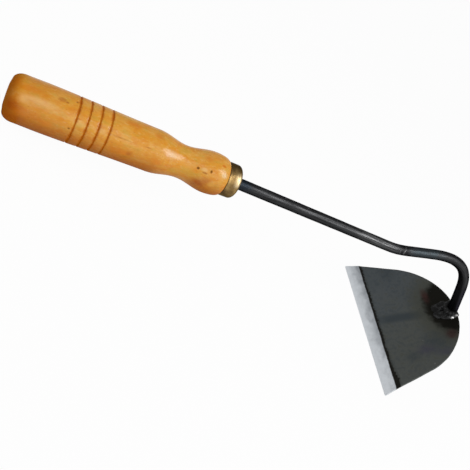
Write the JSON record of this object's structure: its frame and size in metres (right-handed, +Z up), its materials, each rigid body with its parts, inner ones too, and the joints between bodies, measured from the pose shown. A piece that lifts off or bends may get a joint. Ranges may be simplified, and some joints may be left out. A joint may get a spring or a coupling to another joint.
{
  "type": "garden hoe",
  "caption": "Short hand hoe with a turned wooden handle, brass ferrule, swan-neck steel rod and a D-shaped steel blade.",
  "frame": {"origin": "middle of the bounding box's bottom, on the ground the hoe rests on with its cutting edge and its butt", "axes": "+X from the butt towards the blade, +Z up, Y across; the tool is mirrored about the XZ plane"},
  "size_m": [0.4378, 0.1538, 0.1122],
  "materials": {
    "lacquered_wood": "clear lacquered turned wood with burnt lines",
    "aged_brass": "drawn brass, dulled with age",
    "black_rod_steel": "blackened round steel bar",
    "dark_blade_steel": "dark mill scale with a bright ground edge",
    "weld_scale": "rough black weld"
  },
  "bodies": {
    "root": {"handle": "lacquered_wood", "ferrule": "aged_brass", "neck": "black_rod_steel", "blade": "dark_blade_steel", "weld_bead": "weld_scale"}
  },
  "joints": []
}
